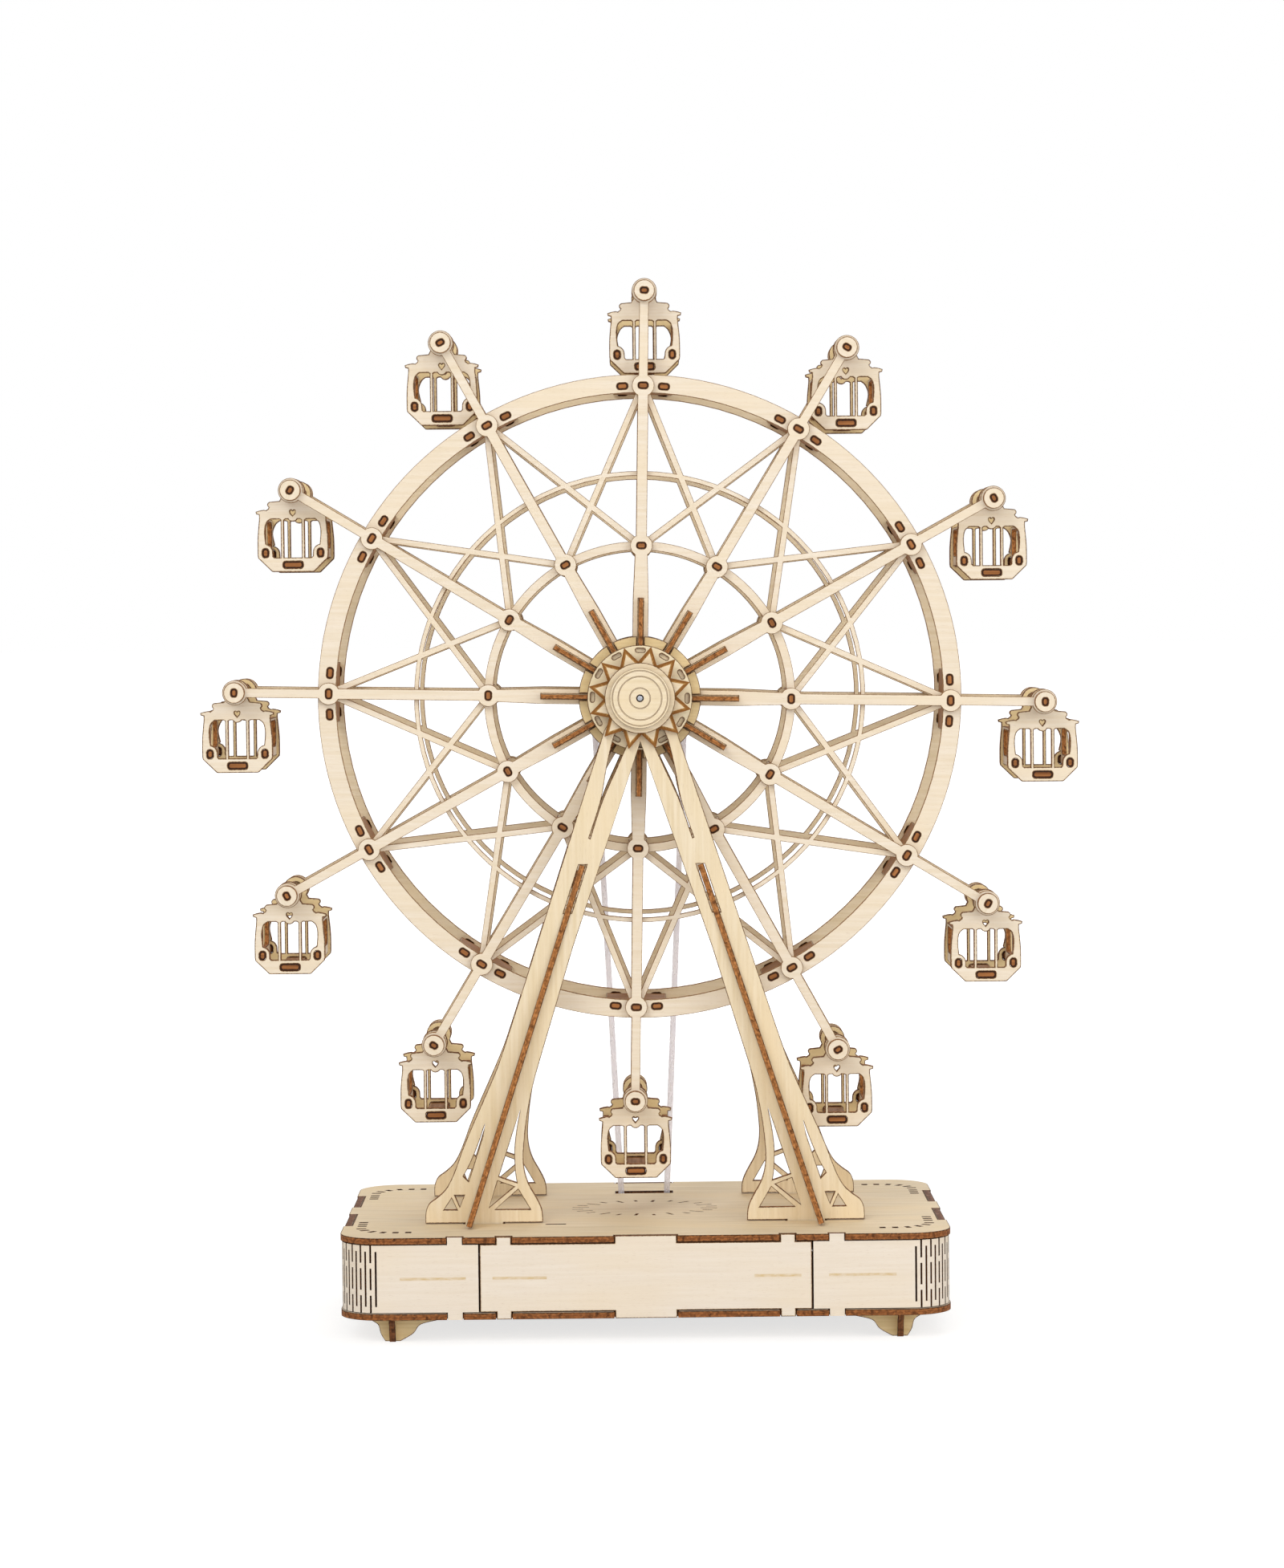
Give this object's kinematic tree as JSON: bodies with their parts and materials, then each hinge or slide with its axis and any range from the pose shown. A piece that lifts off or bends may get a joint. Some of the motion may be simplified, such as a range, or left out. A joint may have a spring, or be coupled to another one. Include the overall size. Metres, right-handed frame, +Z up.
{
  "type": "ferris wheel music box",
  "caption": "Plywood puzzle ferris wheel with hanging cabins on an A-frame, belt driven by a clockwork music movement inside a rounded box base.",
  "frame": {"origin": "on the floor under the middle of the base", "axes": "+Z up, the front panel faces -Y, the wheel turns about an axis along Y"},
  "size_m": [0.2754, 0.122, 0.3255],
  "materials": {
    "plywood": "bare laser-cut birch or basswood plywood, fine grain, matt",
    "warm_plywood": "bare laser-cut plywood, warmer toned, matt",
    "cut_plywood": "plywood seen on its burnt brown cut edge, matt",
    "steel": "plain steel rod and spring steel",
    "brass": "plain brass movement parts",
    "rubber": "dark rubber friction roller",
    "belt": "round translucent elastic belt"
  },
  "bodies": {
    "root": {"base_bottom_plate": "plywood", "base_top_plate": "warm_plywood", "front_panel": "plywood", "back_panel": "plywood", "right_side_wall": "plywood", "left_side_wall": "plywood", "left_front_foot": "warm_plywood", "left_rear_foot": "warm_plywood", "right_front_foot": "warm_plywood", "right_rear_foot": "warm_plywood", "front_support_frame": "warm_plywood", "rear_support_frame": "warm_plywood", "front_left_leg_rib": "cut_plywood", "front_right_leg_rib": "cut_plywood", "rear_left_leg_rib": "cut_plywood", "rear_right_leg_rib": "cut_plywood", "front_star_plate": "plywood", "front_cap_disc": "plywood", "front_cap_step": "plywood", "rear_bearing_disc": "plywood", "drive_belt": "belt", "movement_bedplate": "brass", "movement_comb": "steel", "left_comb_screw": "steel", "right_comb_screw": "steel", "front_shaft_bracket": "warm_plywood", "rear_shaft_bracket": "warm_plywood", "governor_bracket": "brass"},
    "wheel": {"front_wheel_web": "plywood", "rear_wheel_web": "plywood", "front_spokes": "plywood", "rear_spokes": "plywood", "front_hub_disc": "warm_plywood", "rear_hub_disc": "warm_plywood", "front_slotted_disc": "plywood", "rear_slotted_disc": "plywood", "wheel_axle": "steel", "wheel_pulley": "plywood"},
    "cabin_01_body": {"cabin_01": "plywood"},
    "cabin_02_body": {"cabin_02": "plywood"},
    "cabin_03_body": {"cabin_03": "plywood"},
    "cabin_04_body": {"cabin_04": "plywood"},
    "cabin_05_body": {"cabin_05": "plywood"},
    "cabin_06_body": {"cabin_06": "plywood"},
    "cabin_07_body": {"cabin_07": "plywood"},
    "cabin_08_body": {"cabin_08": "plywood"},
    "cabin_09_body": {"cabin_09": "plywood"},
    "cabin_10_body": {"cabin_10": "plywood"},
    "cabin_11_body": {"cabin_11": "plywood"},
    "cabin_12_body": {"cabin_12": "plywood"},
    "spring_drive": {"winding_shaft": "steel", "winding_key": "brass", "spring_barrel": "brass", "friction_disc": "warm_plywood"},
    "pulley_drive": {"pulley_shaft": "steel", "friction_roller": "rubber", "drive_pulley": "plywood"},
    "cylinder": {"pin_cylinder": "brass"},
    "governor": {"governor_fly": "brass"}
  },
  "joints": [
    {"name": "wheel_spin", "type": "hinge", "parent": "root", "child": "wheel", "pos_m": [0, 0, 0.1954], "axis": [0, 1, 0], "continuous": true},
    {"name": "cabin_01_swing", "type": "hinge", "parent": "wheel", "child": "cabin_01_body", "pos_m": [0.00264, 0, 0.32157], "axis": [0, 1, 0], "continuous": true},
    {"name": "cabin_02_swing", "type": "hinge", "parent": "wheel", "child": "cabin_02_body", "pos_m": [0.06538, 0, 0.30335], "axis": [0, 1, 0], "continuous": true},
    {"name": "cabin_03_swing", "type": "hinge", "parent": "wheel", "child": "cabin_03_body", "pos_m": [0.11059, 0, 0.2562], "axis": [0, 1, 0], "continuous": true},
    {"name": "cabin_04_swing", "type": "hinge", "parent": "wheel", "child": "cabin_04_body", "pos_m": [0.12617, 0, 0.19276], "axis": [0, 1, 0], "continuous": true},
    {"name": "cabin_05_swing", "type": "hinge", "parent": "wheel", "child": "cabin_05_body", "pos_m": [0.10795, 0, 0.13003], "axis": [0, 1, 0], "continuous": true},
    {"name": "cabin_06_swing", "type": "hinge", "parent": "wheel", "child": "cabin_06_body", "pos_m": [0.0608, 0, 0.08481], "axis": [0, 1, 0], "continuous": true},
    {"name": "cabin_07_swing", "type": "hinge", "parent": "wheel", "child": "cabin_07_body", "pos_m": [-0.00264, 0, 0.06923], "axis": [0, 1, 0], "continuous": true},
    {"name": "cabin_08_swing", "type": "hinge", "parent": "wheel", "child": "cabin_08_body", "pos_m": [-0.06538, 0, 0.08745], "axis": [0, 1, 0], "continuous": true},
    {"name": "cabin_09_swing", "type": "hinge", "parent": "wheel", "child": "cabin_09_body", "pos_m": [-0.11059, 0, 0.1346], "axis": [0, 1, 0], "continuous": true},
    {"name": "cabin_10_swing", "type": "hinge", "parent": "wheel", "child": "cabin_10_body", "pos_m": [-0.12617, 0, 0.19804], "axis": [0, 1, 0], "continuous": true},
    {"name": "cabin_11_swing", "type": "hinge", "parent": "wheel", "child": "cabin_11_body", "pos_m": [-0.10795, 0, 0.26077], "axis": [0, 1, 0], "continuous": true},
    {"name": "cabin_12_swing", "type": "hinge", "parent": "wheel", "child": "cabin_12_body", "pos_m": [-0.0608, 0, 0.30599], "axis": [0, 1, 0], "continuous": true},
    {"name": "pulley_spin", "type": "hinge", "parent": "root", "child": "pulley_drive", "pos_m": [0, 0, 0.0197], "axis": [0, 1, 0], "continuous": true},
    {"name": "spring_spin", "type": "hinge", "parent": "root", "child": "spring_drive", "pos_m": [0, 0.012, 0], "axis": [0, 0, 1], "continuous": true},
    {"name": "cylinder_spin", "type": "hinge", "parent": "root", "child": "cylinder", "pos_m": [0, -0.005, 0.0178], "axis": [1, 0, 0], "continuous": true},
    {"name": "governor_spin", "type": "hinge", "parent": "root", "child": "governor", "pos_m": [-0.02, -0.002, 0], "axis": [0, 0, 1], "continuous": true}
  ],
  "couplings": [
    {"joint": "cabin_01_swing", "follows": "wheel_spin", "ratio": -1},
    {"joint": "cabin_02_swing", "follows": "wheel_spin", "ratio": -1},
    {"joint": "cabin_03_swing", "follows": "wheel_spin", "ratio": -1},
    {"joint": "cabin_04_swing", "follows": "wheel_spin", "ratio": -1},
    {"joint": "cabin_05_swing", "follows": "wheel_spin", "ratio": -1},
    {"joint": "cabin_06_swing", "follows": "wheel_spin", "ratio": -1},
    {"joint": "cabin_07_swing", "follows": "wheel_spin", "ratio": -1},
    {"joint": "cabin_08_swing", "follows": "wheel_spin", "ratio": -1},
    {"joint": "cabin_09_swing", "follows": "wheel_spin", "ratio": -1},
    {"joint": "cabin_10_swing", "follows": "wheel_spin", "ratio": -1},
    {"joint": "cabin_11_swing", "follows": "wheel_spin", "ratio": -1},
    {"joint": "cabin_12_swing", "follows": "wheel_spin", "ratio": -1},
    {"joint": "pulley_spin", "follows": "wheel_spin", "ratio": 2.1898},
    {"joint": "spring_spin", "follows": "wheel_spin", "ratio": -0.9385},
    {"joint": "cylinder_spin", "follows": "wheel_spin", "ratio": -1.9},
    {"joint": "governor_spin", "follows": "wheel_spin", "ratio": 8}
  ]
}
